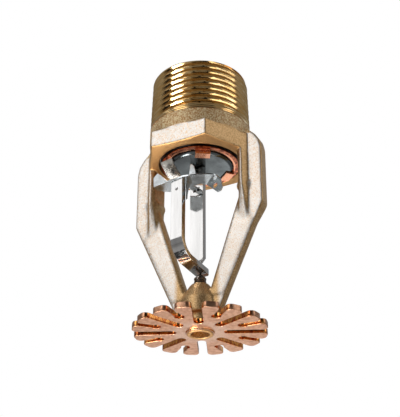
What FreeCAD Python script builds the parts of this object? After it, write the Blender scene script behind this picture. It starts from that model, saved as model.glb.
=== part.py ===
"""Pendent fire sprinkler head with a hook, strut and fusible link trigger.

Millimetres.  The origin is the centre of the inlet face, +Z points up the supply pipe,
and the two frame arms stand on the X axis.  Everything below the inlet is at negative Z.
The trigger lies in a plane of its own, turned about Z; inside that plane the first local
axis runs from the strut out to the hook, and the second across the strips.
"""
import FreeCAD
import Part
import math
import os

import Sketcher

# Driving dimensions, in millimetres and degrees.  A name that ends in "depth" is a
# distance below the inlet face.
DRIVING = {
    # Tapered pipe thread, 1 inch NPT
    "thread_radius": 16.30, "thread_length": 19.5, "thread_pitch": 2.2086,
    "thread_depth_cut": 1.25, "thread_crest": 0.28, "thread_half_angle": 1.79,
    # Body
    "neck_radius": 16.95, "hex_top_depth": 25.2, "hex_flats": 33.5, "hex_height": 6.6,
    "underside_rise": 0.7, "underside_land": 14.3,
    # Waterway
    "inlet_radius": 13.3, "inlet_taper_depth": 14.0, "throat_radius": 12.0,
    "seat_depth": 29.5, "outlet_radius": 13.7,
    # Arms
    "arm_reach": 22.7, "rib_width": 4.5, "rib_start_radius": 16.4, "rib_start_depth": 21.6,
    "rib_shoulder_radius": 20.5, "rib_shoulder_depth": 25.6,
    "rib_bevel_radius": 22.1, "rib_bevel_depth": 28.2, "rib_corner_depth": 31.0,
    "elbow_depth": 51.2, "rib_end_radius": 8.8, "rib_end_depth": 82.0,
    "rib_foot_radius": 7.6, "rib_foot_depth": 84.6, "rib_inner_radius": 18.0,
    "column_inner": 15.0, "column_inner_half": 3.7, "column_corner": 16.6,
    "column_corner_half": 4.7, "column_outer": 18.0, "column_outer_half": 2.2,
    "column_depth": 43.5, "run_out_depth": 57.5, "run_out_inner": 14.4,
    "run_out_corner": 17.3, "run_out_half": 2.3,
    "bar_top_depth": 43.0, "bar_top_inner": 15.3, "bar_top_outer": 18.0,
    "bar_top_half": 1.1,
    "bar_neck_depth": 49.0, "bar_neck_inner": 13.65, "bar_neck_outer": 18.3,
    "bar_neck_half": 2.2,
    "bar_merge_depth": 57.5, "bar_merge_inner": 10.9,
    "bar_merge_outer": 19.7, "bar_foot_depth": 80.0, "bar_foot_inner": 3.4,
    "bar_foot_outer": 9.6, "bar_half": 2.5, "bar_shoulder": 1.2, "bar_round": 0.35,
    "draft_depth": 57.0, "draft_inset": 1.1, "draft_start": -0.1,
    "lug_radius": 2.3, "lug_centre": 16.2, "lug_depth": 44.2, "lug_length": 5.2,
    # Boss that holds the compression screw and the deflector
    "boss_top_depth": 75.0, "boss_top_radius": 2.7, "boss_dome_radius": 3.6,
    "boss_dome_depth": 76.1, "boss_flank_radius": 4.6, "boss_flank_depth": 77.9,
    "boss_radius": 5.75, "boss_full_depth": 80.4,
    "boss_foot_depth": 85.4, "stem_radius": 4.5, "screw_bore_radius": 2.0,
    "screw_mouth_radius": 2.9, "screw_mouth_depth": 87.2,
    "swage_radius": 4.2, "swage_height": 0.9,
    # Deflector
    "deflector_depth": 88.8, "deflector_radius": 20.8, "deflector_thickness": 1.85,
    "deflector_hole_radius": 3.75, "tube_radius": 3.7, "collar_radius": 4.4,
    "collar_height": 0.5,
    "long_slot_root": 7.3, "long_slot_width": 2.8, "short_slot_root": 12.6,
    "short_slot_width": 2.1, "short_slot_eye": 1.45, "slot_run_out": 26.0,
    "petal_round": 1.6,
    # Compression screw
    "screw_radius": 1.95, "screw_root_radius": 1.60, "screw_pitch": 0.8,
    "screw_tip_depth": 71.15, "screw_tip_radius": 0.45, "screw_cone_depth": 72.9,
    "screw_end_depth": 86.6, "screw_slot_width": 0.8, "screw_slot_depth": 1.4,
    # Trigger plane
    "trigger_angle": -102.5,
    # Hook: a strip bent to an L, its toe between the screw tip and the strut
    "hook_width": 4.5, "hook_thickness": 1.8, "hook_outer": 12.2, "hook_top_depth": 42.12,
    "hook_leg_outer_depth": 68.5, "hook_toe_reach": 2.1, "hook_toe_depth": 71.58,
    "hook_outer_bend": 7.5, "hook_inner_bend": 5.0, "hook_hole_radius": 0.5,
    "hook_hole_depth": 46.0, "toe_round": 0.9,
    # Strut
    "strut_offset": 1.2, "strut_width": 5.3, "strut_thickness": 1.6,
    "strut_top_slope": 0.45, "strut_foot_depth": 68.85, "strut_foot_width": 2.4,
    "strut_knife": 0.55, "strut_taper_depth": 66.8, "strut_slot_width": 2.6, "strut_slot_top_depth": 41.2,
    "strut_slot_bottom_depth": 42.5,
    # Fusible link: two plates with solder between them
    "plate_thickness": 0.45, "solder_thickness": 0.10, "link_depth": 42.05,
    "hook_slot_clearance": 0.12, "tall_fin_reach": 13.05, "small_fin_reach": 9.6,
    "strut_plate_foot": 5.2, "tab_reach": 3.84, "tab_hole_radius": 0.93,
    "tab_hole_across": 9.0, "tab_hole_drop": 1.45,
    # Sealing assembly
    "cap_radius": 10.8, "cap_top_depth": 31.2, "cap_bottom_depth": 33.4,
    "cap_hub_radius": 6.5, "cap_hub_height": 0.55, "cap_edge_round": 0.7,
    "strut_gap": 0.05,
    "disc_outer_radius": 13.2, "disc_inner_radius": 7.0, "disc_thickness": 0.45,
    "gasket_outer_radius": 13.5, "gasket_inner_radius": 12.1, "gasket_thickness": 0.15,
    "ring_inner_radius": 11.15, "ring_outer_radius": 12.95, "ring_thickness": 0.45,
    "ring_top_depth": 31.85, "tab_width": 4.9, "tab_foot_radius": 8.5,
    "tab_thickness": 0.45, "tab_angle": -60.0, "tab_spread": 218.0,
    # Ejection spring strip
    "spring_width": 4.7, "spring_thickness": 0.4, "spring_bend_radius": 14.0,
    "spring_across": -5.7, "spring_top_reach": 11.0, "spring_top_depth": 32.75,
    "spring_sweep": 34.0, "spring_foot_tilt": -69.0,
}

# Outlines of the stamped link halves, in the trigger plane's own axes: reach and across
# for the flat plates, across and rise for the fins, reach and drop for the ear.
HOOK_PLATE_OUTLINE = [
    (5.3, -0.8), (4.4, -2.5), (2.9, -4.4), (3.1, -6.2), (5.0, -7.0), (6.9, -6.4),
    (8.2, -7.9), (10.4, -9.5), (13.05, -8.9), (12.95, -2.8), (12.7, 0.6),
    (12.55, 2.7), (11.6, 4.9), (10.6, 6.8), (9.1, 9.6), (7.8, 11.0), (6.3, 11.5),
    (3.84, 11.2), (3.39, 11.2), (3.39, 5.6), (5.5, 4.5), (5.9, 2.6), (5.3, 0.4)]
STRUT_PLATE_OUTLINE = [
    (5.2, -2.4), (9.9, -2.4), (9.9, 2.4), (9.6, 3.0), (9.6, 5.8), (8.2, 8.6), (5.4, 9.8),
    (4.2, 8.6), (5.6, 5.4), (5.2, 3.0)]
SOLDER_OUTLINE = [
    (6.2, -2.3), (9.8, -2.3), (9.8, 2.3), (9.4, 3.2), (9.3, 5.6), (8.0, 8.2), (6.2, 8.8)]
TALL_FIN_OUTLINE = [
    (-8.9, 0.0), (-3.3, 0.0), (-3.6, 0.6), (-6.1, 3.5), (-7.4, 4.5), (-9.1, 3.4)]
SMALL_FIN_OUTLINE = [(2.9, 0.0), (5.8, 0.0), (4.9, 3.9), (4.1, 4.95), (3.4, 4.9)]
EAR_OUTLINE = [
    (10.35, 0.0), (7.6, 0.0), (8.6, 1.3), (9.4, 3.0), (9.9, 5.0), (10.15, 7.2), (10.35, 7.2)]
TAB_OUTLINE = [
    (5.6, -0.45), (5.6, 0.0), (9.9, 4.2), (11.2, 3.95), (11.8, 3.1), (11.6, 1.6),
    (11.2, 0.0), (11.2, -0.45)]


class Size:
    """A number together with the spreadsheet expression that gives it."""

    def __init__(self, value, text):
        self.value = value
        self.text = text

    def joined(self, other, sign, result):
        return Size(result, "(%s %s %s)" % (self.text, sign, as_size(other).text))

    def __add__(self, other):
        return self.joined(other, "+", self.value + as_size(other).value)

    def __sub__(self, other):
        return self.joined(other, "-", self.value - as_size(other).value)

    def __mul__(self, other):
        return self.joined(other, "*", self.value * as_size(other).value)

    def __truediv__(self, other):
        return self.joined(other, "/", self.value / as_size(other).value)

    def __neg__(self):
        return Size(-self.value, "(-%s)" % self.text)


def as_size(number):
    if isinstance(number, Size):
        return number
    return Size(float(number), repr(float(number)))


def S(name):
    """The driving dimension of this name, bound to its cell."""
    return Size(DRIVING[name], "Sizes.%s" % name)


def write_sheet(doc):
    sheet = doc.addObject("Spreadsheet::Sheet", "Sizes")
    for row, (name, value) in enumerate(DRIVING.items(), start=1):
        sheet.set("A%d" % row, name)
        sheet.set("B%d" % row, "%g" % value)
        sheet.setAlias("B%d" % row, name)
    doc.recompute()
    return sheet


# ---------------------------------------------------------------- sketch helpers

def origin_feature(body, role):
    return [item for item in body.Origin.OriginFeatures if item.Role == role][0]


def new_body(doc, name, turned=False):
    body = doc.addObject("PartDesign::Body", name)
    body.Label = name
    if turned:
        body.Placement = trigger_placement()
    return body


def trigger_placement():
    up = FreeCAD.Vector(0, 0, 1)
    return FreeCAD.Placement(FreeCAD.Vector(), FreeCAD.Rotation(up, DRIVING["trigger_angle"]))


def new_sketch(body, name, plane="XZ_Plane", offset=None):
    """A sketch on an origin plane; offset moves it along that plane's normal."""
    sketch = body.newObject("Sketcher::SketchObject", name)
    sketch.AttachmentSupport = [(origin_feature(body, plane), "")]
    sketch.MapMode = "FlatFace"
    if offset is not None:
        sketch.setExpression("AttachmentOffset.Base.z", offset.text)
        sketch.AttachmentOffset = FreeCAD.Placement(
            FreeCAD.Vector(0, 0, offset.value), FreeCAD.Rotation())
    return sketch


def hold(sketch, kind, geometry, end, size):
    """Hold a point's horizontal or vertical place with a dimension bound to the sheet."""
    if abs(size.value) < 1e-9:
        axis = -2 if kind == "DistanceX" else -1
        sketch.addConstraint(Sketcher.Constraint("PointOnObject", geometry, end, axis))
        return
    index = sketch.addConstraint(
        Sketcher.Constraint(kind, -1, 1, geometry, end, size.value))
    sketch.setExpression("Constraints[%d]" % index, size.text)


def outline(sketch, points):
    """A closed polygon whose corners are held by dimensions from the origin."""
    corners = [(as_size(across), as_size(along)) for across, along in points]
    first = sketch.GeometryCount
    count = len(corners)
    for index in range(count):
        start = corners[index]
        end = corners[(index + 1) % count]
        sketch.addGeometry(Part.LineSegment(
            FreeCAD.Vector(start[0].value, start[1].value, 0),
            FreeCAD.Vector(end[0].value, end[1].value, 0)), False)
    for index in range(count):
        following = first + (index + 1) % count
        sketch.addConstraint(Sketcher.Constraint("Coincident", first + index, 2, following, 1))
    for index, (across, along) in enumerate(corners):
        hold(sketch, "DistanceX", first + index, 1, across)
        hold(sketch, "DistanceY", first + index, 1, along)
    return sketch


def circle(sketch, across, along, radius):
    across = as_size(across)
    along = as_size(along)
    index = sketch.addGeometry(Part.Circle(
        FreeCAD.Vector(across.value, along.value, 0), FreeCAD.Vector(0, 0, 1), radius.value))
    hold(sketch, "DistanceX", index, 3, across)
    hold(sketch, "DistanceY", index, 3, along)
    ring = sketch.addConstraint(Sketcher.Constraint("Radius", index, radius.value))
    sketch.setExpression("Constraints[%d]" % ring, radius.text)
    return sketch


# ---------------------------------------------------------------- feature helpers

def set_size(feature, prop, size):
    setattr(feature, prop, size.value)
    feature.setExpression(prop, size.text)


def pad(body, name, sketch, length, symmetric=False, reverse=False):
    feature = body.newObject("PartDesign::Pad", name)
    feature.Profile = sketch
    set_size(feature, "Length", length)
    if symmetric:
        feature.SideType = "Symmetric"
    feature.Reversed = reverse
    return feature


def pocket(body, name, sketch, length, symmetric=False, reverse=False):
    feature = body.newObject("PartDesign::Pocket", name)
    feature.Profile = sketch
    set_size(feature, "Length", length)
    if symmetric:
        feature.SideType = "Symmetric"
    feature.Reversed = reverse
    return feature


def turned(body, name, sketch, cut=False):
    """Revolve a sketch of the XZ plane about Z, to add it or to cut it away."""
    kind = "PartDesign::Groove" if cut else "PartDesign::Revolution"
    feature = body.newObject(kind, name)
    feature.Profile = sketch
    feature.ReferenceAxis = (origin_feature(body, "Z_Axis"), [""])
    feature.Angle = 360
    return feature


def patterned(body, name, originals, count):
    feature = body.newObject("PartDesign::PolarPattern", name)
    feature.Originals = originals
    feature.Axis = (origin_feature(body, "Z_Axis"), [""])
    feature.Angle = 360
    feature.Occurrences = count
    body.Tip = feature
    return feature


def mirrored(body, name, originals, plane="YZ_Plane"):
    feature = body.newObject("PartDesign::Mirrored", name)
    feature.Originals = originals
    feature.MirrorPlane = (origin_feature(body, plane), [""])
    body.Tip = feature
    return feature


def rounded(body, name, base, radius, wanted):
    """Fillet the edges of base that wanted(edge) picks."""
    base.Document.recompute()
    names = ["Edge%d" % (index + 1) for index, edge in enumerate(base.Shape.Edges)
             if wanted(edge)]
    feature = body.newObject("PartDesign::Fillet", name)
    feature.Base = (base, names)
    set_size(feature, "Radius", radius)
    return feature


def is_vertical(edge):
    box = edge.BoundBox
    return box.XLength < 1e-4 and box.YLength < 1e-4 and box.ZLength > 1e-3


# ---------------------------------------------------------------- the frame casting

def hexagon_points():
    reach = S("hex_flats") / math.sqrt(3)
    points = []
    for corner in range(6):
        angle = math.radians(60 * corner)
        points.append((reach * math.cos(angle), reach * math.sin(angle)))
    return points


def add_nipple(body):
    """Tapered nipple and cast neck, turned in one piece."""
    taper = math.tan(math.radians(DRIVING["thread_half_angle"]))
    foot = S("thread_radius") + S("thread_length") * taper
    sketch = outline(new_sketch(body, "nipple_profile"), [
        (0, 0),
        (S("thread_radius") - S("thread_crest") * 2, 0),
        (S("thread_radius"), -S("thread_crest") * 2),
        (foot, -S("thread_length")),
        (S("neck_radius"), -S("thread_length")),
        (S("neck_radius"), -S("hex_top_depth")),
        (0, -S("hex_top_depth")),
    ])
    return turned(body, "nipple", sketch)


def add_thread(body):
    """A helical V groove that runs out at the neck and follows the taper."""
    half_open = S("thread_pitch") / 2 - S("thread_crest") / 2
    middle = -(S("thread_length") - S("thread_pitch") * 0.45)
    taper = math.tan(math.radians(DRIVING["thread_half_angle"]))
    surface = S("thread_radius") + S("thread_length") * taper
    sketch = outline(new_sketch(body, "thread_profile"), [
        (surface + 0.25, middle - half_open * 1.2),
        (surface + 0.25, middle + half_open * 1.2),
        (surface - S("thread_depth_cut"), middle + 0.12),
        (surface - S("thread_depth_cut"), middle - 0.12),
    ])
    groove = body.newObject("PartDesign::SubtractiveHelix", "thread")
    groove.Profile = sketch
    groove.ReferenceAxis = (origin_feature(body, "Z_Axis"), [""])
    groove.Mode = "pitch-height-angle"
    set_size(groove, "Pitch", S("thread_pitch"))
    set_size(groove, "Height", S("thread_length") + S("thread_pitch"))
    set_size(groove, "Angle", -S("thread_half_angle"))
    return groove


def add_hexagon(body):
    sketch = outline(new_sketch(body, "hexagon", "XY_Plane", -S("hex_top_depth")),
                     hexagon_points())
    block = pad(body, "wrench_hexagon", sketch, S("hex_height"), reverse=True)
    bottom = -(S("hex_top_depth") + S("hex_height"))
    sloped = outline(new_sketch(body, "underside_profile"), [
        (S("underside_land"), bottom),
        (S("hex_flats"), bottom + S("underside_rise") * 4),
        (S("hex_flats"), bottom - 1),
        (S("underside_land"), bottom - 1),
    ])
    turned(body, "underside_slope", sloped, cut=True)
    return block


def add_waterway(body):
    outlet = -(S("hex_top_depth") + S("hex_height") + 2)
    sketch = outline(new_sketch(body, "waterway_profile"), [
        (0, 1),
        (S("inlet_radius") + 0.6, 1),
        (S("inlet_radius"), -0.6),
        (S("throat_radius"), -S("inlet_taper_depth")),
        (S("throat_radius"), -S("seat_depth")),
        (S("outlet_radius"), -S("seat_depth")),
        (S("outlet_radius"), outlet),
        (0, outlet),
    ])
    return turned(body, "waterway", sketch, cut=True)


def add_arm(body):
    """The +X arm: a hexagon corner run downwards, a thin outer rib and a rounded bar."""
    column = column_section(body, "column_section", S("seat_depth"))
    upright = pad(body, "column", column, S("column_depth") - S("seat_depth"), reverse=True)
    run_out_top = column_section(body, "run_out_top", S("column_depth"))
    run_out_foot = outline(new_sketch(body, "run_out_foot", "XY_Plane", -S("run_out_depth")),
                           mirrored_points([
                               (S("run_out_inner"), S("column_outer_half")),
                               (S("run_out_corner"), S("run_out_half")),
                               (S("column_outer"), S("column_outer_half"))]))
    run_out = ruled_loft(body, "run_out", [run_out_top, run_out_foot])
    rib_sketch = outline(new_sketch(body, "rib_outline"), [
        (S("rib_start_radius"), -S("rib_start_depth")),
        (S("rib_shoulder_radius"), -S("rib_shoulder_depth")),
        (S("rib_bevel_radius"), -S("rib_bevel_depth")),
        (S("arm_reach"), -S("rib_corner_depth")),
        (S("arm_reach"), -S("elbow_depth")),
        (S("rib_end_radius"), -S("rib_end_depth")),
        (S("rib_foot_radius"), -S("rib_foot_depth")),
        (S("boss_top_radius"), -S("rib_foot_depth")),
        (S("boss_dome_radius"), -S("bar_foot_depth")),
        (S("rib_inner_radius"), -S("elbow_depth") + 4),
        (S("rib_start_radius"), -S("seat_depth")),
    ])
    rib = pad(body, "rib", rib_sketch, S("rib_width"), symmetric=True)
    lug = circle(new_sketch(body, "lug_outline"), S("lug_centre"), -S("lug_depth"),
                 S("lug_radius"))
    ledge = pad(body, "lug", lug, S("lug_length"), symmetric=True)
    bar = ruled_loft(body, "bar", [
        bar_section(body, "bar_top", S("bar_top_depth"), S("bar_top_inner"),
                    S("bar_top_outer"), S("bar_top_half")),
        bar_section(body, "bar_neck", S("bar_neck_depth"), S("bar_neck_inner"),
                    S("bar_neck_outer"), S("bar_neck_half")),
        bar_section(body, "bar_merge", S("bar_merge_depth"), S("bar_merge_inner"),
                    S("bar_merge_outer"), S("bar_half")),
        bar_section(body, "bar_foot", S("bar_foot_depth"), S("bar_foot_inner"),
                    S("bar_foot_outer"), S("bar_half")),
    ])
    draft = body.newObject("PartDesign::SubtractiveLoft", "back_draft")
    draft.Profile = draft_section(body, "draft_top", S("elbow_depth"), S("draft_inset"))
    draft.Sections = [draft_section(body, "draft_full", S("draft_depth"), as_size(0)),
                      draft_section(body, "draft_foot", S("rib_foot_depth"), as_size(0))]
    draft.Ruled = True
    return [upright, run_out, rib, ledge, bar, draft]


def draft_section(body, name, depth, clear):
    """The wedge that slopes the outer edge of the lower arm back, clear outside it."""
    fall = (S("arm_reach") - S("rib_end_radius")) / (S("rib_end_depth") - S("elbow_depth"))
    edge = S("arm_reach") - (depth - S("elbow_depth")) * fall + clear
    slope = S("draft_inset") / (S("rib_width") / 2 - S("draft_start"))
    return outline(new_sketch(body, name, "XY_Plane", -depth), [
        (edge + slope, S("draft_start") - 1),
        (edge + S("rib_width"), S("rib_width")),
        (edge - (S("rib_width") - S("draft_start")) * slope, S("rib_width"))])


def mirrored_points(upper):
    """A closed outline from the points of its +Y half, listed from the inside out."""
    lower = [(across, -along) for across, along in reversed(upper)]
    return upper + lower


def column_section(body, name, depth):
    return outline(new_sketch(body, name, "XY_Plane", -depth), mirrored_points([
        (S("column_inner"), S("column_inner_half")),
        (S("column_corner"), S("column_corner_half")),
        (S("column_outer"), S("column_outer_half"))]))


def bar_section(body, name, depth, inner, outer, half):
    """A crowned front, a rounded nose inside and a flatter back."""
    shoulder = S("bar_shoulder")
    return outline(new_sketch(body, name, "XY_Plane", -depth), [
        (inner, -half * 0.55),
        (inner + S("bar_round"), -half * 0.85),
        (inner + shoulder, -half),
        (outer - shoulder, -half),
        (outer, -half * 0.88),
        (outer, half * 0.88),
        (inner + shoulder, half * 0.88),
        (inner - S("bar_round") / 3, half * 0.4)])


def ruled_loft(body, name, sections):
    feature = body.newObject("PartDesign::AdditiveLoft", name)
    feature.Profile = sections[0]
    feature.Sections = sections[1:]
    feature.Ruled = True
    return feature


def add_boss(body):
    collar_foot = S("deflector_depth") + S("deflector_thickness") + S("collar_height")
    swage_foot = S("deflector_depth") + S("deflector_thickness") + S("swage_height")
    sketch = outline(new_sketch(body, "boss_profile"), [
        (0, -S("boss_top_depth")),
        (S("boss_top_radius"), -S("boss_top_depth")),
        (S("boss_dome_radius"), -S("boss_dome_depth")),
        (S("boss_flank_radius"), -S("boss_flank_depth")),
        (S("boss_radius"), -S("boss_full_depth")),
        (S("boss_radius"), -S("boss_foot_depth")),
        (S("stem_radius"), -S("boss_foot_depth") - 0.4),
        (S("stem_radius"), -S("deflector_depth")),
        (S("tube_radius"), -S("deflector_depth")),
        (S("tube_radius"), -collar_foot),
        (S("swage_radius"), -collar_foot),
        (S("swage_radius") - 0.2, -swage_foot),
        (0, -swage_foot),
    ])
    return turned(body, "boss", sketch)


def add_screw_bore(body):
    end = -(S("deflector_depth") + S("deflector_thickness") + 2)
    sketch = outline(new_sketch(body, "screw_bore_profile"), [
        (0, -S("boss_top_depth") + 1),
        (S("screw_bore_radius"), -S("boss_top_depth") + 1),
        (S("screw_bore_radius"), -S("screw_mouth_depth")),
        (S("screw_mouth_radius"), -S("screw_mouth_depth")),
        (S("screw_mouth_radius"), end),
        (0, end),
    ])
    return turned(body, "screw_bore", sketch, cut=True)


def make_frame(doc):
    body = new_body(doc, "frame")
    add_nipple(body)
    add_thread(body)
    add_hexagon(body)
    add_waterway(body)
    arm = add_arm(body)
    mirrored(body, "second_arm", arm)
    add_boss(body)
    add_screw_bore(body)
    return body


# ---------------------------------------------------------------- deflector and screw

def make_deflector(doc):
    """A flat disc with a hub collar, cut into petals by eight long and eight short slots."""
    body = new_body(doc, "deflector")
    bottom = -(S("deflector_depth") + S("deflector_thickness"))
    disc = circle(new_sketch(body, "disc_outline", "XY_Plane", bottom), 0, 0,
                  S("deflector_radius"))
    circle(disc, 0, 0, S("deflector_hole_radius"))
    pad(body, "disc", disc, S("deflector_thickness"))
    hub = circle(new_sketch(body, "collar_outline", "XY_Plane", bottom), 0, 0,
                 S("collar_radius"))
    circle(hub, 0, 0, S("deflector_hole_radius"))
    pad(body, "collar", hub, S("collar_height"), reverse=True)
    depth = S("deflector_thickness") * 3
    cuts = []
    turn = math.radians(22.5)
    for label, root, width, angle, eye in (
            ("long", S("long_slot_root"), S("long_slot_width"), turn, None),
            ("short", S("short_slot_root"), S("short_slot_width"), 0.0, S("short_slot_eye"))):
        half = width / 2
        round_radius = half if eye is None else eye
        centre = root + round_radius
        path = new_sketch(body, label + "_slot_path", "XY_Plane", bottom)
        outline(path, [rotated(centre, -half, angle), rotated(S("slot_run_out"), -half, angle),
                       rotated(S("slot_run_out"), half, angle), rotated(centre, half, angle)])
        end = new_sketch(body, label + "_slot_end", "XY_Plane", bottom)
        middle = rotated(centre, as_size(0), angle)
        circle(end, middle[0], middle[1], round_radius)
        cuts.append(pocket(body, label + "_slot", path, depth, symmetric=True))
        cuts.append(pocket(body, label + "_slot_root", end, depth, symmetric=True))
    slots = patterned(body, "slots", cuts, 8)
    rim = DRIVING["deflector_radius"]

    def at_petal_corner(edge):
        middle = edge.CenterOfMass
        return is_vertical(edge) and abs(math.hypot(middle.x, middle.y) - rim) < 0.05

    rounded(body, "petal_corners", slots, S("petal_round"), at_petal_corner)
    return body


def rotated(along, across, angle):
    """A point given along and across a ray from the axis, as sketch coordinates."""
    along = as_size(along)
    across = as_size(across)
    return (along * math.cos(angle) - across * math.sin(angle),
            along * math.sin(angle) + across * math.cos(angle))


def make_screw(doc):
    """Headless screw: threaded shank with a pointed tip and a driver slot below."""
    body = new_body(doc, "compression_screw")
    first = DRIVING["screw_cone_depth"] + 0.4
    last = DRIVING["screw_end_depth"] - 0.5
    turns = int((last - first) / DRIVING["screw_pitch"])
    points = [
        (0, -S("screw_tip_depth")),
        (S("screw_tip_radius") * 0.5, -S("screw_tip_depth") - S("screw_tip_radius") * 0.134),
        (S("screw_tip_radius") * 0.866, -S("screw_tip_depth") - S("screw_tip_radius") * 0.5),
        (S("screw_radius"), -S("screw_cone_depth")),
    ]
    for turn in range(turns):
        crest = -S("screw_cone_depth") - 0.4 - S("screw_pitch") * turn
        points.append((S("screw_radius"), crest))
        points.append((S("screw_root_radius"), crest - S("screw_pitch") * 0.45))
        points.append((S("screw_radius"), crest - S("screw_pitch") * 0.9))
    points += [
        (S("screw_radius"), -S("screw_end_depth") + 0.3),
        (S("screw_radius") - 0.3, -S("screw_end_depth")),
        (0, -S("screw_end_depth")),
    ]
    turned(body, "shank", outline(new_sketch(body, "shank_profile"), points))
    half = S("screw_slot_width") / 2
    slot = outline(new_sketch(body, "slot_outline"), [
        (-half, -S("screw_end_depth") - 1),
        (half, -S("screw_end_depth") - 1),
        (half, -S("screw_end_depth") + S("screw_slot_depth")),
        (-half, -S("screw_end_depth") + S("screw_slot_depth")),
    ])
    pocket(body, "driver_slot", slot, S("screw_radius") * 4, symmetric=True)
    return body


# ---------------------------------------------------------------- trigger

def make_hook(doc):
    """An L-shaped strip: upright outside, toe sloping down between screw and strut."""
    body = new_body(doc, "hook", turned=True)
    outer = S("hook_outer")
    inner = outer - S("hook_thickness")
    toe = -S("hook_toe_reach")
    under = -S("hook_toe_depth")
    over = under + S("hook_thickness")
    leg_under = -S("hook_leg_outer_depth")
    slope = (leg_under - under) / (outer - toe)
    leg_over = over + slope * (inner - toe)
    strip = outline(new_sketch(body, "strip_outline"), [
        (inner, -S("hook_top_depth")),
        (outer, -S("hook_top_depth")),
        (outer, leg_under),
        (toe, under),
        (toe, over),
        (inner, leg_over),
    ])
    bar = pad(body, "strip", strip, S("hook_width"), symmetric=True)

    def at(edge, across, height):
        middle = edge.CenterOfMass
        return abs(middle.x - across.value) < 0.05 and abs(middle.z - height.value) < 0.05

    outside = rounded(body, "outer_bend", bar, S("hook_outer_bend"),
                      lambda edge: at(edge, outer, leg_under))
    inside = rounded(body, "inner_bend", outside, S("hook_inner_bend"),
                     lambda edge: at(edge, inner, leg_over))

    def at_toe_corner(edge):
        box = edge.BoundBox
        return box.XMax < toe.value + 0.05 and box.YLength < 0.01

    rounded(body, "toe_corners", inside, S("toe_round"), at_toe_corner)
    hole = circle(new_sketch(body, "hole_outline", "YZ_Plane"), 0, -S("hook_hole_depth"),
                  S("hook_hole_radius"))
    pocket(body, "hole", hole, S("hook_outer") * 4, symmetric=True)
    return body


def make_strut(doc):
    """A straight strip with a knife foot on the hook and a slot for the link's tongue.

    Its top slopes, so that it lets go of the cap as soon as it starts to swing away.
    """
    body = new_body(doc, "strut", turned=True)
    middle = S("strut_offset")
    half = S("strut_thickness") / 2
    low = middle - half
    high = middle + half
    knife = S("strut_knife") / 2
    top = -(S("cap_bottom_depth") + S("strut_gap"))
    side = outline(new_sketch(body, "side_outline"), [
        (low, top),
        (high, top - S("strut_top_slope")),
        (high, -S("strut_taper_depth")),
        (middle + knife, -S("strut_foot_depth")),
        (middle - knife, -S("strut_foot_depth")),
        (low, -S("strut_taper_depth")),
    ])
    pad(body, "strip", side, S("strut_width"), symmetric=True)
    edge = S("strut_width") / 2
    foot = S("strut_foot_width") / 2
    for label, sign in (("left", -1), ("right", 1)):
        corner = outline(new_sketch(body, label + "_taper_outline", "YZ_Plane"), [
            ((edge + 1) * sign, -S("strut_taper_depth")),
            (edge * sign, -S("strut_taper_depth")),
            (foot * sign, -S("strut_foot_depth")),
            (foot * sign, -S("strut_foot_depth") - 1),
            ((edge + 1) * sign, -S("strut_foot_depth") - 1),
        ])
        pocket(body, label + "_taper", corner, S("hook_outer"), symmetric=True)
    slot_half = S("strut_slot_width") / 2
    slot = outline(new_sketch(body, "slot_outline", "YZ_Plane"), [
        (-slot_half, -S("strut_slot_top_depth")),
        (slot_half, -S("strut_slot_top_depth")),
        (slot_half, -S("strut_slot_bottom_depth")),
        (-slot_half, -S("strut_slot_bottom_depth")),
    ])
    pocket(body, "slot", slot, S("hook_outer"), symmetric=True)
    return body


def plate(body, name, depth, thickness, points):
    """A flat plate whose top face is at this depth."""
    sketch = outline(new_sketch(body, name + "_outline", "XY_Plane", -depth), points)
    return pad(body, name, sketch, thickness, reverse=True)


def upright_fin(body, name, reach, points, thickness):
    """A plate standing across the trigger plane, its outer face at this reach."""
    sketch = new_sketch(body, name + "_outline", "YZ_Plane", reach)
    return pad(body, name, outline(sketch, points), thickness, reverse=True)


def make_hook_plate(doc):
    """The lower link half: slotted for the hook, with a tall fin, an ear and a drilled tab."""
    body = new_body(doc, "link_plate_hook_side", turned=True)
    thick = S("plate_thickness")
    top = -(S("link_depth") + S("solder_thickness"))
    foot = top - thick
    plate(body, "plate", -top, thick, HOOK_PLATE_OUTLINE)
    gap = S("hook_slot_clearance")
    half = S("hook_width") / 2 + gap
    inner = S("hook_outer") - S("hook_thickness")
    slot = outline(new_sketch(body, "hook_slot_outline", "XY_Plane", top), [
        (inner - gap, -half), (S("hook_outer") + 0.05, -half),
        (S("hook_outer") + 0.05, half), (inner - gap, half)])
    pocket(body, "hook_slot", slot, thick * 3, symmetric=True)
    upright_fin(body, "tall_fin", S("tall_fin_reach"),
                [(across, foot + rise) for across, rise in TALL_FIN_OUTLINE], thick)
    ear = new_sketch(body, "ear_outline", "XZ_Plane", -(half + thick))
    outline(ear, [(reach, foot - drop) for reach, drop in EAR_OUTLINE])
    pad(body, "ear", ear, thick)
    tab_face = S("tab_reach")
    upright_fin(body, "tab", tab_face,
                [(across, foot - drop) for across, drop in TAB_OUTLINE], thick)
    hole = circle(new_sketch(body, "tab_hole_outline", "YZ_Plane", tab_face),
                  S("tab_hole_across"), foot - S("tab_hole_drop"), S("tab_hole_radius"))
    pocket(body, "tab_hole", hole, thick * 3, symmetric=True)
    return body


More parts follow.
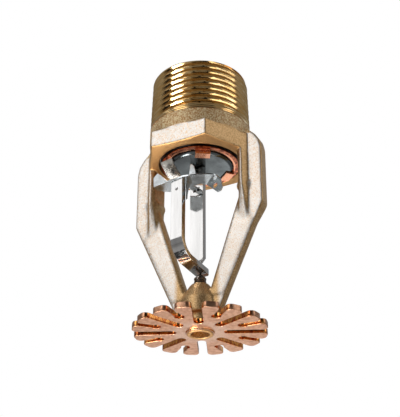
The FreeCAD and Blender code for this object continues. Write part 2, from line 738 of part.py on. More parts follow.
def make_strut_plate(doc):
    """The upper link half: a tongue through the strut, a keeper behind it and a small fin."""
    body = new_body(doc, "link_plate_strut_side", turned=True)
    thick = S("plate_thickness")
    over = S("link_depth") - thick
    tongue = S("strut_slot_width") / 2 - 0.2
    behind = S("strut_offset") - S("strut_thickness") / 2 - 0.12
    plate(body, "plate", over, thick, [(behind - thick, -tongue)]
          + [(S("strut_plate_foot"), -tongue)] + STRUT_PLATE_OUTLINE
          + [(S("strut_plate_foot"), tongue), (behind - thick, tongue)])
    foot = -over - thick
    upright_fin(body, "keeper", behind, [
        (-tongue, foot + thick), (tongue, foot + thick), (tongue, foot - 0.9),
        (-tongue, foot - 0.9)], thick)
    upright_fin(body, "small_fin", S("small_fin_reach"),
                [(across, foot + rise) for across, rise in SMALL_FIN_OUTLINE], thick)
    return body


def make_solder(doc):
    """The fusible solder film that joins the two link halves."""
    body = new_body(doc, "solder_film", turned=True)
    plate(body, "film", S("link_depth"), S("solder_thickness"), SOLDER_OUTLINE)
    return body


# ---------------------------------------------------------------- sealing assembly

def make_cap(doc):
    """Plated cap: a flat flange the strut bears on and a hub for the disc spring."""
    body = new_body(doc, "sealing_cap", turned=True)
    profile = outline(new_sketch(body, "cap_profile"), [
        (0, -S("cap_bottom_depth")),
        (S("cap_radius") - S("cap_edge_round"), -S("cap_bottom_depth")),
        (S("cap_radius"), -S("cap_bottom_depth") + S("cap_edge_round")),
        (S("cap_radius"), -S("cap_top_depth")),
        (S("cap_hub_radius"), -S("cap_top_depth")),
        (S("cap_hub_radius") - 0.3, -S("cap_top_depth") + S("cap_hub_height")),
        (0, -S("cap_top_depth") + S("cap_hub_height")),
    ])
    turned(body, "flange", profile)
    return body


def make_disc_spring(doc):
    """Coned disc spring that keeps the gasket on its seat."""
    body = new_body(doc, "disc_spring")
    top = -(S("seat_depth") + S("gasket_thickness"))
    foot = -(S("cap_top_depth"))
    profile = outline(new_sketch(body, "cone_profile"), [
        (S("disc_outer_radius"), top),
        (S("disc_outer_radius"), top - S("disc_thickness")),
        (S("disc_inner_radius"), foot),
        (S("disc_inner_radius"), foot + S("disc_thickness")),
    ])
    turned(body, "cone", profile)
    return body


def make_gasket(doc):
    body = new_body(doc, "seat_gasket")
    sketch = circle(new_sketch(body, "film_outline", "XY_Plane", -S("seat_depth")), 0, 0,
                    S("gasket_outer_radius"))
    circle(sketch, 0, 0, S("gasket_inner_radius"))
    pad(body, "film", sketch, S("gasket_thickness"), reverse=True)
    return body


def make_retainer(doc):
    """Copper ring with three tabs that step down and clip under the cap."""
    body = new_body(doc, "retainer_clip")
    body.Placement = FreeCAD.Placement(
        FreeCAD.Vector(), FreeCAD.Rotation(FreeCAD.Vector(0, 0, 1), DRIVING["tab_angle"]))
    ring = circle(new_sketch(body, "ring_outline", "XY_Plane", -S("ring_top_depth")), 0, 0,
                  S("ring_outer_radius"))
    circle(ring, 0, 0, S("ring_inner_radius"))
    pad(body, "ring", ring, S("ring_thickness"), reverse=True)
    thick = S("tab_thickness")
    foot_top = -(S("cap_bottom_depth") + 0.05)
    leg_inner = S("cap_radius") + 0.08
    leg_outer = leg_inner + thick
    tab = outline(new_sketch(body, "tab_outline"), [
        (leg_inner, -S("ring_top_depth") + 0.3),
        (leg_outer, -S("ring_top_depth") + 0.3),
        (leg_outer, foot_top - thick),
        (S("tab_foot_radius"), foot_top - thick),
        (S("tab_foot_radius"), foot_top),
        (leg_inner, foot_top),
    ])
    clip = pad(body, "tab", tab, S("tab_width"), symmetric=True)
    tabs = patterned(body, "tabs", [clip], 3)
    set_size(tabs, "Angle", S("tab_spread"))
    return body


def make_spring(doc):
    """Curved strip that throws the sealing assembly clear; a sector of a thin tube."""
    outer = doc.addObject("Part::Cylinder", "spring_outside")
    inner = doc.addObject("Part::Cylinder", "spring_inside")
    radius = S("spring_bend_radius")
    set_size(outer, "Radius", radius)
    set_size(inner, "Radius", radius - S("spring_thickness"))
    set_size(outer, "Angle", S("spring_sweep"))
    for bar in (outer, inner):
        set_size(bar, "Height", S("spring_width"))
    inner.Angle = 360
    strip = doc.addObject("Part::Cut", "ejection_spring")
    strip.Base = outer
    strip.Tool = inner
    strip.Label = "ejection_spring"
    tilt = math.radians(DRIVING["spring_foot_tilt"] + DRIVING["spring_sweep"])
    centre_reach = DRIVING["spring_top_reach"] - radius.value * math.cos(tilt)
    centre_depth = DRIVING["spring_top_depth"] + radius.value * math.sin(tilt)
    across = DRIVING["spring_across"] + DRIVING["spring_width"] / 2
    lay_down = FreeCAD.Rotation(FreeCAD.Vector(1, 0, 0), 90)
    start = FreeCAD.Rotation(FreeCAD.Vector(0, 0, 1), DRIVING["spring_foot_tilt"])
    local = FreeCAD.Placement(FreeCAD.Vector(centre_reach, across, -centre_depth),
                              lay_down.multiply(start))
    strip.Placement = trigger_placement().multiply(local)
    return strip


# ---------------------------------------------------------------- checking and writing

def check(doc, parts):
    for item in doc.Objects:
        bad = [state for state in item.State if state in ("Invalid", "Error")]
        if bad:
            raise RuntimeError("%s did not compute: %s" % (item.Name, item.State))
    for part in parts:
        shape = part.Shape
        if shape.isNull() or not shape.isValid():
            raise RuntimeError("%s has no valid shape" % part.Label)
        if len(shape.Solids) != 1:
            raise RuntimeError("%s is %d solids" % (part.Label, len(shape.Solids)))


def write(parts):
    os.makedirs("parts", exist_ok=True)
    for part in parts:
        part.Shape.exportStep("parts/%s.step" % part.Label)
        box = part.Shape.BoundBox
        print("%-24s volume %9.2f  z %8.2f to %8.2f" % (
            part.Label, part.Shape.Volume, box.ZMin, box.ZMax))


def main():
    doc = FreeCAD.newDocument("sprinkler")
    write_sheet(doc)
    parts = [
        make_frame(doc), make_deflector(doc), make_screw(doc), make_hook(doc),
        make_strut(doc), make_hook_plate(doc), make_strut_plate(doc), make_solder(doc),
        make_cap(doc),
        make_disc_spring(doc), make_gasket(doc), make_retainer(doc), make_spring(doc),
    ]
    doc.recompute()
    check(doc, parts)
    write(parts)


main()
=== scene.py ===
"""Looks for the pendent fire sprinkler head.

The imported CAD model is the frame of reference.  The bronze body is rebuilt here as a
softened casting and a helical thread; every other piece is the CAD node with eased
edges.  Lengths are written in millimetres and turned into metres with MM.
"""

import math

import bmesh
import bpy
import numpy as np
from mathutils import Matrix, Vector


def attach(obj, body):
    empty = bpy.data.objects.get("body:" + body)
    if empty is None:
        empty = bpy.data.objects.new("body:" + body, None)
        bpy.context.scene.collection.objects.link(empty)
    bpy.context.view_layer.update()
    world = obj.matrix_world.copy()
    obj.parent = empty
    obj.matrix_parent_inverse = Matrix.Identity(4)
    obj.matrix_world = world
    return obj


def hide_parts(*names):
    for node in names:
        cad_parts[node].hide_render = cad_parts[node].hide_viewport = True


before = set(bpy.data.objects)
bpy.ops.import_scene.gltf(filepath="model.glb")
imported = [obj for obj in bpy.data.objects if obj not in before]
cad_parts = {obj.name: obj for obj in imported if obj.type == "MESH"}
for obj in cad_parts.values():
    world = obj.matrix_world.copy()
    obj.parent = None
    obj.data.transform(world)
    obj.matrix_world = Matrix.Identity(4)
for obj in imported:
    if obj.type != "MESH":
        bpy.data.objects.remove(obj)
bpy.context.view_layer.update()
MM = 0.001

# Body of the sprinkler, in millimetres, as the CAD has it
THREAD_RADIUS = 16.3
THREAD_LENGTH = 19.5
THREAD_PITCH = 2.2086
THREAD_DEPTH = 1.25
THREAD_TAPER = math.tan(math.radians(1.79))
INLET_RADIUS = 13.3
INLET_TAPER_DEPTH = 14.0
THROAT_RADIUS = 12.0
INLET_CHAMFER = 0.6
HEX_TOP_DEPTH = 25.2

# Where the casting's softness, a finish or a painted shade changes, in millimetres
ARMS_ALONE_DEPTH = 33.0
ARMS_ALONE_REACH = 18.6
BOSS_MOUTH_DEPTH = 74.2
BOSS_MOUTH_RADIUS = 2.6
SWAGE_DEPTH = 85.3
DEFLECTOR_RIM_RADIUS = 20.1
CLIP_RING_RADIUS = 11.6

# Share of each round of smoothing
CRISP = 0.15
FIRM = 0.30
SOFT = 1.0

# How the thread and the casting are meshed
CREST_SHARE = 0.10
FLANK_SHARE = 0.80
THREAD_RUN_OUT_GAP = 0.2
CREST_CHAMFER = 0.56
CHAMFER_GROOVE_SHARE = 0.4
CUT_BELOW_THREAD = 0.05
NIPPLE_OVERLAP = 0.15
VOXEL = 0.26
SMOOTHING_ROUNDS = 14

# Camera
CAMERA_PLACE = (114.6, -240.4, -190.7)
CAMERA_PITCH = 28.2
CAMERA_AZIMUTH = 25.5
CAMERA_LENS = 80.15

# Stage
FLOOR_DEPTH = 330.0
FLOOR_RADIUS = 2500.0
PANEL_LIFT = 10.0
BOARD_LIFT = 4.0
AIM_POINT = (0, 0, -45)
BOARD_SHADE = (0.02, 0.018, 0.016)
FLOOR_SHADE = (0.80, 0.79, 0.77)


# ---------------------------------------------------------------- node materials

class Nodes:
    """Short names for building a material's node tree."""

    def __init__(self, name):
        self.material = bpy.data.materials.new(name)
        self.material.use_nodes = True
        self.tree = self.material.node_tree
        self.shader = self.tree.nodes["Principled BSDF"]
        self.coordinates = self.add("ShaderNodeTexCoord")
        self.place = self.coordinates.outputs["Object"]

    def add(self, kind, **inputs):
        node = self.tree.nodes.new(kind)
        for name, value in inputs.items():
            node.inputs[name.replace("_", " ")].default_value = value
        return node

    def link(self, source, target):
        self.tree.links.new(source, target)

    def noise(self, scale_mm, detail=3.0, rough=0.55, stretch=(1, 1, 1)):
        """Noise whose grains are about scale_mm across."""
        size = self.add("ShaderNodeMapping", Scale=stretch)
        self.link(self.place, size.inputs["Vector"])
        node = self.add("ShaderNodeTexNoise", Scale=1 / (scale_mm * MM), Detail=detail,
                        Roughness=rough)
        self.link(size.outputs["Vector"], node.inputs["Vector"])
        return node.outputs["Fac"]

    def ramp(self, factor, low, high, start=0.35, end=0.65):
        """Two colours or greys blended by factor."""
        node = self.add("ShaderNodeValToRGB")
        node.color_ramp.elements[0].position = start
        node.color_ramp.elements[1].position = end
        node.color_ramp.elements[0].color = as_colour(low)
        node.color_ramp.elements[1].color = as_colour(high)
        self.link(factor, node.inputs["Fac"])
        return node.outputs["Color"]

    def mix(self, factor, first, second, blend="MIX"):
        node = self.add("ShaderNodeMix")
        node.data_type = "RGBA"
        node.blend_type = blend
        for value, index in ((factor, 0), (first, 6), (second, 7)):
            if hasattr(value, "is_output"):
                self.link(value, node.inputs[index])
            elif index == 0:
                node.inputs[0].default_value = value
            else:
                node.inputs[index].default_value = as_colour(value)
        return node.outputs[2]

    def math(self, operation, first, second=0.0):
        node = self.add("ShaderNodeMath")
        node.operation = operation
        for value, index in ((first, 0), (second, 1)):
            if hasattr(value, "is_output"):
                self.link(value, node.inputs[index])
            else:
                node.inputs[index].default_value = value
        return node.outputs["Value"]

    def step(self, value, low, high):
        """0 below low, 1 above high and a smooth rise between."""
        node = self.add("ShaderNodeMapRange", From_Min=low, From_Max=high)
        node.interpolation_type = "SMOOTHSTEP"
        self.link(value, node.inputs["Value"])
        return node.outputs["Result"]

    def place_parts(self):
        """Height and distance from the axis, in metres."""
        parts = self.add("ShaderNodeSeparateXYZ")
        self.link(self.place, parts.inputs[0])
        across = self.math("MULTIPLY", parts.outputs["X"], parts.outputs["X"])
        along = self.math("MULTIPLY", parts.outputs["Y"], parts.outputs["Y"])
        radius = self.math("SQRT", self.math("ADD", across, along))
        return parts.outputs["Z"], radius

    def facing(self):
        """The surface normal's Y and Z parts, in the object's own axes."""
        parts = self.add("ShaderNodeSeparateXYZ")
        self.link(self.coordinates.outputs["Normal"], parts.inputs[0])
        return parts.outputs["Y"], parts.outputs["Z"]

    def bump(self, height, strength, distance_mm):
        node = self.add("ShaderNodeBump", Strength=strength, Distance=distance_mm * MM)
        self.link(height, node.inputs["Height"])
        self.link(node.outputs["Normal"], self.shader.inputs["Normal"])


def as_colour(value):
    """A grey or a colour with its alpha."""
    if isinstance(value, (int, float)):
        return (value, value, value, 1.0)
    return (*value, 1.0)


def metal(name, dark, light, rough, grain_mm, bump, stretch=(1, 1, 1)):
    """A metal with mottled colour, uneven gloss and fine relief."""
    nodes = Nodes(name)
    colour = nodes.ramp(nodes.noise(grain_mm * 9, stretch=stretch), dark, light)
    nodes.link(colour, nodes.shader.inputs["Base Color"])
    gloss = nodes.ramp(nodes.noise(grain_mm * 4, stretch=stretch), rough[0], rough[1])
    nodes.link(gloss, nodes.shader.inputs["Roughness"])
    nodes.shader.inputs["Metallic"].default_value = 1.0
    nodes.bump(nodes.noise(grain_mm, 4.0, 0.6, stretch), bump, grain_mm * 0.35)
    return nodes.material


def cast_bronze():
    """Tumbled bronze, tan and brown, with a pale painted highlight on the broad front and back
    faces and a brown painted shade on the undersides.
    """
    nodes = Nodes("cast_bronze")
    height, radius = nodes.place_parts()
    front, up = nodes.facing()
    depth = nodes.math("MULTIPLY", height, -1.0)
    fine = nodes.noise(0.36, 2.0, 0.6)
    coarse = nodes.noise(1.5, 3.0, 0.6)
    tan = nodes.ramp(fine, (0.46, 0.25, 0.095), (0.88, 0.62, 0.33), 0.36, 0.62)
    tan = nodes.mix(nodes.ramp(coarse, 0.0, 0.5, 0.46, 0.66), tan, (0.56, 0.33, 0.14))
    # Pale is a painted highlight, laid on the broad front and back faces by which way they
    # face.
    pale = nodes.ramp(fine, (0.74, 0.54, 0.36), (0.95, 0.92, 0.88), 0.36, 0.50)
    broad = nodes.step(nodes.math("ABSOLUTE", front), 0.80, 0.97)
    off_boss = nodes.step(radius, 6.8 * MM, 8.6 * MM)
    below_neck = nodes.step(depth, (HEX_TOP_DEPTH - 0.3) * MM, (HEX_TOP_DEPTH + 0.1) * MM)
    # Mask of the painted highlight: broad faces away from the boss and below the neck.
    painted_highlight = nodes.math("MULTIPLY", nodes.math("MULTIPLY", broad, off_boss), below_neck)
    patchy = nodes.ramp(coarse, 0.78, 1.0, 0.38, 0.60)
    colour = nodes.mix(nodes.math("MULTIPLY", painted_highlight, patchy), tan, pale)
    neck = nodes.step(height, (0.1 - HEX_TOP_DEPTH) * MM, (0.4 - HEX_TOP_DEPTH) * MM)
    grit = nodes.ramp(nodes.noise(0.45, 3.0, 0.7), (0.62, 0.33, 0.12), (1.0, 0.88, 0.60),
                      0.40, 0.60)
    colour = nodes.mix(neck, colour, grit)
    # Faces pointing down are darkened towards brown as painted shade.
    painted_underside_shade = nodes.step(nodes.math("MULTIPLY", up, -1.0), 0.55, 0.92)
    colour = nodes.mix(nodes.math("MULTIPLY", painted_underside_shade, 0.85), colour, (0.62, 0.34, 0.13))
    nodes.link(colour, nodes.shader.inputs["Base Color"])
    gloss = nodes.mix(neck, nodes.ramp(fine, 0.36, 0.54), nodes.ramp(fine, 0.62, 0.78))
    nodes.link(gloss, nodes.shader.inputs["Roughness"])
    nodes.shader.inputs["Metallic"].default_value = 1.0
    nodes.bump(nodes.noise(0.30, 3.0, 0.6), 0.55, 0.10)
    return nodes.material


def stamped_bronze():
    """Rose-tan faces, redder on the petals, with orange sheared walls in the slots."""
    nodes = Nodes("stamped_bronze")
    up = nodes.facing()[1]
    fine = nodes.noise(0.30, 3.0, 0.6)
    coarse = nodes.noise(2.2, 3.0, 0.6)
    face = nodes.ramp(fine, (0.58, 0.33, 0.22), (0.80, 0.54, 0.40), 0.36, 0.60)
    face = nodes.mix(nodes.ramp(coarse, 0.0, 0.6, 0.50, 0.68), face, (0.52, 0.24, 0.12))
    petals = nodes.step(nodes.place_parts()[1], 7.0 * MM, 11.0 * MM)
    flush = nodes.ramp(nodes.noise(1.3, 3.0, 0.6), (0.50, 0.20, 0.095), (0.72, 0.39, 0.23),
                       0.36, 0.60)
    face = nodes.mix(nodes.math("MULTIPLY", petals, 0.80), face, flush)
    wall = nodes.ramp(nodes.noise(0.7, 2.0, 0.6, (1, 1, 0.3)), (0.52, 0.11, 0.035),
                      (1.0, 0.46, 0.13), 0.38, 0.56)
    rim = nodes.step(nodes.place_parts()[1], DEFLECTOR_RIM_RADIUS * MM,
                     (DEFLECTOR_RIM_RADIUS + 0.4) * MM)
    flat = nodes.math("MAXIMUM", rim, nodes.step(nodes.math("ABSOLUTE", up), 0.55, 0.90))
    nodes.link(nodes.mix(flat, wall, face), nodes.shader.inputs["Base Color"])
    nodes.link(nodes.mix(flat, nodes.ramp(fine, 0.12, 0.24), nodes.ramp(fine, 0.28, 0.42)),
               nodes.shader.inputs["Roughness"])
    nodes.shader.inputs["Metallic"].default_value = 1.0
    nodes.bump(nodes.noise(0.25, 3.0, 0.6), 0.25, 0.06)
    return nodes.material


def soft_copper():
    """Bright bent tabs on a glossier ring, darker as painted shade."""
    nodes = Nodes("soft_copper")
    fine = nodes.noise(0.35, 3.0, 0.6)
    ring = nodes.step(nodes.place_parts()[1], CLIP_RING_RADIUS * MM,
                      (CLIP_RING_RADIUS + 0.3) * MM)
    tab = nodes.ramp(fine, (0.90, 0.34, 0.17), (1.0, 0.52, 0.34))
    # The ring's darker colour is painted shade; the tabs keep the bright copper.
    dark = nodes.ramp(nodes.noise(1.4, 2.0), (0.22, 0.06, 0.03), (0.66, 0.22, 0.11), 0.40, 0.62)
    nodes.link(nodes.mix(ring, tab, dark), nodes.shader.inputs["Base Color"])
    nodes.link(nodes.mix(ring, nodes.ramp(fine, 0.18, 0.30), nodes.ramp(fine, 0.08, 0.16)),
               nodes.shader.inputs["Roughness"])
    nodes.shader.inputs["Metallic"].default_value = 1.0
    nodes.bump(fine, 0.15, 0.05)
    return nodes.material


def make_materials():
    """Every material by the name that the assembly uses."""
    return {
        "cast": cast_bronze(),
        "deflector": stamped_bronze(),
        "thread": metal("machined_brass", (0.78, 0.46, 0.16), (0.95, 0.67, 0.33),
                        (0.05, 0.10), 0.5, bump=0.06, stretch=(1, 1, 9)),
        "nickel": metal("nickel_plate", (0.71, 0.70, 0.69), (0.83, 0.82, 0.81),
                        (0.06, 0.12), 0.3, bump=0.03, stretch=(1, 1, 0.15)),
        "link": metal("link_nickel", (0.56, 0.59, 0.60), (0.72, 0.76, 0.78),
                      (0.14, 0.26), 0.4, bump=0.08),
        "cap": metal("cap_nickel", (0.125, 0.140, 0.144), (0.20, 0.222, 0.227),
                     (0.10, 0.20), 0.5, bump=0.05),
        "screw": metal("dark_steel", (0.14, 0.12, 0.11), (0.34, 0.30, 0.27),
                       (0.16, 0.32), 0.3, bump=0.15),
        "spring": metal("spring_steel", (0.50, 0.47, 0.43), (0.84, 0.80, 0.74),
                        (0.20, 0.34), 0.25, bump=0.2, stretch=(1, 1, 0.1)),
        "dark_spring": metal("dark_spring_steel", (0.05, 0.04, 0.035), (0.12, 0.09, 0.08),
                             (0.30, 0.45), 0.4, bump=0.1),
        "copper": soft_copper(),
        "solder": metal("solder", (0.30, 0.31, 0.32), (0.52, 0.53, 0.55),
                        (0.40, 0.60), 0.2, bump=0.4),
        "seal": seal_film(),
    }


def seal_film():
    """Pale plastic film between the disc spring and the seat."""
    nodes = Nodes("seal_film")
    colour = nodes.ramp(nodes.noise(2.0), (0.62, 0.61, 0.58), (0.78, 0.77, 0.74))
    nodes.link(colour, nodes.shader.inputs["Base Color"])
    nodes.link(nodes.ramp(nodes.noise(0.8), 0.45, 0.6), nodes.shader.inputs["Roughness"])
    nodes.bump(nodes.noise(0.3), 0.2, 0.05)
    return nodes.material


# ---------------------------------------------------------------- mesh helpers

def new_piece(name, mesh_or_bm, material, body):
    """An object with this mesh and material, riding on a body."""
    if isinstance(mesh_or_bm, bmesh.types.BMesh):
        mesh = bpy.data.meshes.new(name)
        mesh_or_bm.to_mesh(mesh)
        mesh_or_bm.free()
    else:
        mesh = mesh_or_bm
    piece = bpy.data.objects.new(name, mesh)
    bpy.context.scene.collection.objects.link(piece)
    mesh.materials.clear()
    mesh.materials.append(material)
    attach(piece, body)
    return piece


def voxel_remeshed(bm, voxel_mm):
    """A closed copy of bm made of even squares."""
    mesh = bpy.data.meshes.new("to_remesh")
    bm.to_mesh(mesh)
    bm.free()
    holder = bpy.data.objects.new("to_remesh", mesh)
    bpy.context.scene.collection.objects.link(holder)
    remesh = holder.modifiers.new("voxels", "REMESH")
    remesh.mode = "VOXEL"
    remesh.voxel_size = voxel_mm * MM
    remesh.adaptivity = 0.0
    bpy.context.view_layer.update()
    shaped = bpy.data.meshes.new_from_object(
        holder.evaluated_get(bpy.context.evaluated_depsgraph_get()))
    bpy.data.objects.remove(holder)
    return shaped


def relaxed(mesh, softness, rounds):
    """Pull each vertex towards its neighbours, by softness(x, y, z) in millimetres."""
    count = len(mesh.vertices)
    points = np.zeros(count * 3)
    mesh.vertices.foreach_get("co", points)
    points = points.reshape(-1, 3)
    ends = np.zeros(len(mesh.edges) * 2, int)
    mesh.edges.foreach_get("vertices", ends)
    first, second = ends.reshape(-1, 2).T
    both = np.concatenate([first, second])
    other = np.concatenate([second, first])
    degree = np.bincount(both, minlength=count)[:, None]
    share = softness(*(points.T / MM))[:, None]
    for _ in range(rounds):
        total = np.stack([np.bincount(both, points[other, axis], count)
                          for axis in range(3)], 1)
        points = points + 0.5 * share * (total / degree - points)
    mesh.vertices.foreach_set("co", points.ravel())
    mesh.update()
    return mesh


def eased(node, material, width_mm, angle=32):
    """Give a CAD node its material and small rounded edges."""
    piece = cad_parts[node]
    weld = piece.modifiers.new("weld", "WELD")
    weld.merge_threshold = 1e-6
    flat = piece.modifiers.new("flat_faces", "DECIMATE")
    flat.decimate_type = "DISSOLVE"
    flat.angle_limit = math.radians(0.6)
    ease = piece.modifiers.new("eased_edges", "BEVEL")
    ease.width = width_mm * MM
    ease.segments = 2
    ease.limit_method = "ANGLE"
    ease.angle_limit = math.radians(angle)
    ease.use_clamp_overlap = True
    ease.harden_normals = False
    shade = piece.modifiers.new("shading", "WEIGHTED_NORMAL")
    shade.keep_sharp = False
    shade.weight = 70
    piece.data.materials.clear()
    piece.data.materials.append(material)
    for face in piece.data.polygons:
        face.use_smooth = True
    return piece


# ---------------------------------------------------------------- the bronze body

def casting(materials):
    """The body below the thread, with the soft edges of a tumbled casting."""
    bm = bmesh.new()
    bm.from_mesh(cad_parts["frame"].data)
    bmesh.ops.remove_doubles(bm, verts=bm.verts, dist=1e-7)
    cut = bmesh.ops.bisect_plane(
        bm, geom=bm.verts[:] + bm.edges[:] + bm.faces[:], clear_outer=True,
        plane_co=(0, 0, -(THREAD_LENGTH + CUT_BELOW_THREAD) * MM), plane_no=(0, 0, 1))
    rim = [edge for edge in cut["geom_cut"] if isinstance(edge, bmesh.types.BMEdge)]
    bmesh.ops.holes_fill(bm, edges=rim, sides=0)
    bmesh.ops.triangle_fill(bm, edges=[edge for edge in rim if edge.is_boundary])
    mesh = voxel_remeshed(bm, VOXEL)

    def softness(x, y, z):
        radius = np.hypot(x, y)
        share = np.full_like(z, FIRM)
        share[(z < -ARMS_ALONE_DEPTH) | (np.abs(x) > ARMS_ALONE_REACH)] = SOFT
        share[z < -SWAGE_DEPTH] = CRISP
        share[(z < -BOSS_MOUTH_DEPTH) & (radius < BOSS_MOUTH_RADIUS)] = CRISP
        return share

    relaxed(mesh, softness, SMOOTHING_ROUNDS)
    for face in mesh.polygons:
        face.use_smooth = True
    piece = new_piece("frame_casting", mesh, materials["cast"], "frame_body")
    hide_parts("frame")
    return piece


def thread_radius(depth, turn):
    """Outer radius of the nipple at this depth below the inlet, at this share of a turn."""
    crest = THREAD_RADIUS + depth * THREAD_TAPER
    phase = (depth / THREAD_PITCH + turn) % 1.0
    groove = (1.0 - abs(2.0 * phase - 1.0) - CREST_SHARE) / FLANK_SHARE
    groove = max(0.0, min(1.0, groove))
    run_out = (THREAD_LENGTH - THREAD_RUN_OUT_GAP - depth) / THREAD_PITCH
    run_out = min(1.0, max(0.0, run_out))
    chamfer = max(0.0, CREST_CHAMFER - depth)
    share = 1.0 if chamfer == 0 else CHAMFER_GROOVE_SHARE
    return crest - chamfer - THREAD_DEPTH * groove * run_out * share


def bore_radius(depth):
    """Radius of the water way at this depth below the inlet."""
    if depth < INLET_CHAMFER:
        return INLET_RADIUS + (INLET_CHAMFER - depth)
    if depth < INLET_TAPER_DEPTH:
        share = (depth - INLET_CHAMFER) / (INLET_TAPER_DEPTH - INLET_CHAMFER)
        return INLET_RADIUS + (THROAT_RADIUS - INLET_RADIUS) * share
    return THROAT_RADIUS


def nipple(materials, around=256, along=190):
    """The tapered pipe thread as one closed helical surface, with the inlet inside it."""
    bm = bmesh.new()
    foot = THREAD_LENGTH + NIPPLE_OVERLAP
    depths = [foot * row / along for row in range(along + 1)]
    bore_depths = [0.0, INLET_CHAMFER, INLET_TAPER_DEPTH * 0.5, INLET_TAPER_DEPTH, foot]
    rings = []
    for depth in reversed(bore_depths):
        rings.append([(bore_radius(depth), depth)] * around)
    for depth in depths:
        rings.append([(thread_radius(depth, step / around), depth) for step in range(around)])
    rows = []
    for ring in rings:
        row = []
        for step, (radius, depth) in enumerate(ring):
            angle = 2 * math.pi * step / around
            row.append(bm.verts.new((radius * math.cos(angle) * MM,
                                     radius * math.sin(angle) * MM, -depth * MM)))
        rows.append(row)
    for upper, lower in zip(rows, rows[1:] + rows[:1]):
        for step in range(around):
            after = (step + 1) % around
            bm.faces.new((upper[step], lower[step], lower[after], upper[after]))
    bmesh.ops.recalc_face_normals(bm, faces=bm.faces)
    for face in bm.faces:
        face.smooth = True
    for edge in bm.edges:
        if edge.calc_face_angle(0.0) > math.radians(50):
            edge.smooth = False
    return new_piece("nipple_thread", bm, materials["thread"], "frame_body")


# ---------------------------------------------------------------- studio

def aim(thing, place, target):
    """Put a light or board at a place and turn its face to the target."""
    thing.location = Vector(place) * MM
    direction = Vector(target) * MM - thing.location
    thing.rotation_euler = direction.to_track_quat("-Z", "Y").to_euler()


def softbox(name, azimuth, height, distance, size, radiance, colour=(1, 1, 1)):
    """An area light at this azimuth, measured from -Y towards +X, aimed at the middle."""
    data = bpy.data.lights.new(name, "AREA")
    data.shape = "RECTANGLE"
    data.size = size[0] * MM
    data.size_y = size[1] * MM
    data.energy = radiance * math.pi * data.size * data.size_y
    data.color = colour
    light = bpy.data.objects.new(name, data)
    bpy.context.scene.collection.objects.link(light)
    turn = math.radians(azimuth)
    aim(light, (distance * math.sin(turn), -distance * math.cos(turn), height), AIM_POINT)
    return light


def card(name, azimuth, height, distance, size):
    """A matt board beside the object, seen only in its reflections."""
    bm = bmesh.new()
    bmesh.ops.create_grid(bm, x_segments=1, y_segments=1, size=0.5)
    mesh = bpy.data.meshes.new(name)
    bm.to_mesh(mesh)
    bm.free()
    board = bpy.data.objects.new(name, mesh)
    bpy.context.scene.collection.objects.link(board)
    board.scale = (size[0] * MM, size[1] * MM, 1)
    turn = math.radians(azimuth)
    aim(board, (distance * math.sin(turn), -distance * math.cos(turn), height), AIM_POINT)
    mesh.materials.append(matt(name, BOARD_SHADE))
    board.visible_camera = False
    return board


def below(right, back, height):
    """A place near the floor, measured across and away along the camera's azimuth."""
    turn = math.radians(CAMERA_AZIMUTH)
    return Vector((right * math.cos(turn) - back * math.sin(turn),
                   right * math.sin(turn) + back * math.cos(turn), height)) * MM


def floor_light(name, right, back, size, radiance):
    """A panel lying on the floor that shines straight up."""
    light = softbox(name, 0, 0, 100, size, radiance)
    light.location = below(right, back, PANEL_LIFT - FLOOR_DEPTH)
    light.rotation_euler = (math.pi, 0, -math.radians(CAMERA_AZIMUTH))
    return light


def floor_card(name, right, back, size):
    """A dark board lying on the floor, seen only in the thread's reflections."""
    board = card(name, 0, 0, 100, size)
    board.location = below(right, back, BOARD_LIFT - FLOOR_DEPTH)
    board.rotation_euler = (0, 0, math.radians(CAMERA_AZIMUTH))
    return board


def matt(name, shade):
    """A dull, faintly uneven surface for the stage."""
    nodes = Nodes(name)
    colour = nodes.ramp(nodes.noise(60.0), as_shade(shade, 0.96), as_shade(shade, 1.0))
    nodes.link(colour, nodes.shader.inputs["Base Color"])
    nodes.shader.inputs["Roughness"].default_value = 0.9
    return nodes.material


def as_shade(shade, share):
    return tuple(share * value for value in shade)


def surroundings():
    """Soft light from all round, with a white background for the camera."""
    world = bpy.data.worlds.new("studio")
    bpy.context.scene.world = world
    world.use_nodes = True
    tree = world.node_tree
    around = tree.nodes["Background"]
    around.inputs["Color"].default_value = (1.0, 1.0, 1.0, 1.0)
    around.inputs["Strength"].default_value = 0.22
    behind = tree.nodes.new("ShaderNodeBackground")
    behind.inputs["Color"].default_value = (1.0, 1.0, 1.0, 1.0)
    behind.inputs["Strength"].default_value = 1.0
    path = tree.nodes.new("ShaderNodeLightPath")
    mix = tree.nodes.new("ShaderNodeMixShader")
    tree.links.new(path.outputs["Is Camera Ray"], mix.inputs[0])
    tree.links.new(around.outputs[0], mix.inputs[1])
    tree.links.new(behind.outputs[0], mix.inputs[2])
    tree.links.new(mix.outputs[0], tree.nodes["World Output"].inputs["Surface"])


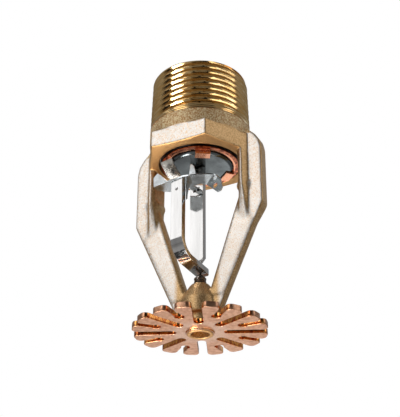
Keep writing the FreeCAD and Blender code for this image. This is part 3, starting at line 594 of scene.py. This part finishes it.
def pale_floor():
    """A wide matt disc below the object."""
    bm = bmesh.new()
    bmesh.ops.create_circle(bm, cap_ends=True, segments=96, radius=FLOOR_RADIUS * MM)
    mesh = bpy.data.meshes.new("floor")
    bm.to_mesh(mesh)
    bm.free()
    floor = bpy.data.objects.new("floor", mesh)
    bpy.context.scene.collection.objects.link(floor)
    floor.location.z = -FLOOR_DEPTH * MM
    mesh.materials.append(matt("pale_floor", FLOOR_SHADE))


def lights():
    """Softboxes, and the panels and boards that the bright metal reflects.

    A softbox or card has its azimuth, height, distance and size.  A floor light or card has
    its place to the right and away from the camera, and its size.  Lights end in radiance.
    """
    softbox("key", -20, 290, 620, (290, 520), 2.2)
    softbox("strip", -51, 280, 620, (120, 340), 0.98)
    softbox("right", 95, 280, 620, (250, 480), 1.4)
    softbox("back", 153, 280, 620, (160, 420), 0.7, (0.50, 0.70, 1.0))
    card("dark_front", 31, 330, 720, (720, 640))
    floor_light("under_left", -122, 0, (110, 300), 12.0)
    floor_light("under_right", 190, 20, (130, 300), 2.2)
    floor_light("under_back", 0, 655, (420, 130), 2.2)
    floor_light("under_link", 0, 500, (420, 80), 0.35)
    floor_card("under_middle", 18, 60, (160, 440))
    floor_card("under_far_left", -270, 130, (170, 560))


def camera():
    """A camera below the deflector's height, looking up at the trigger."""
    data = bpy.data.cameras.new("camera")
    data.lens = CAMERA_LENS
    data.sensor_width = 36.0
    data.clip_start = 0.01
    view = bpy.data.objects.new("camera", data)
    bpy.context.scene.collection.objects.link(view)
    view.location = Vector(CAMERA_PLACE) * MM
    view.rotation_euler = (math.radians(90 + CAMERA_PITCH), 0, math.radians(CAMERA_AZIMUTH))
    bpy.context.scene.camera = view


# ---------------------------------------------------------------- assembly

materials = make_materials()
casting(materials)
nipple(materials)
for node, material, width in (
        ("deflector", "deflector", 0.18), ("compression_screw", "screw", 0.06),
        ("hook", "nickel", 0.16), ("strut", "nickel", 0.14),
        ("link_plate_hook_side", "link", 0.06), ("link_plate_strut_side", "link", 0.06),
        ("solder_film", "solder", 0.02), ("sealing_cap", "cap", 0.15),
        ("disc_spring", "dark_spring", 0.08), ("seat_gasket", "seal", 0.02),
        ("retainer_clip", "copper", 0.08), ("ejection_spring", "spring", 0.06)):
    eased(node, materials[material], width)
surroundings()
pale_floor()
lights()
camera()
bpy.context.scene.view_settings.view_transform = "Standard"
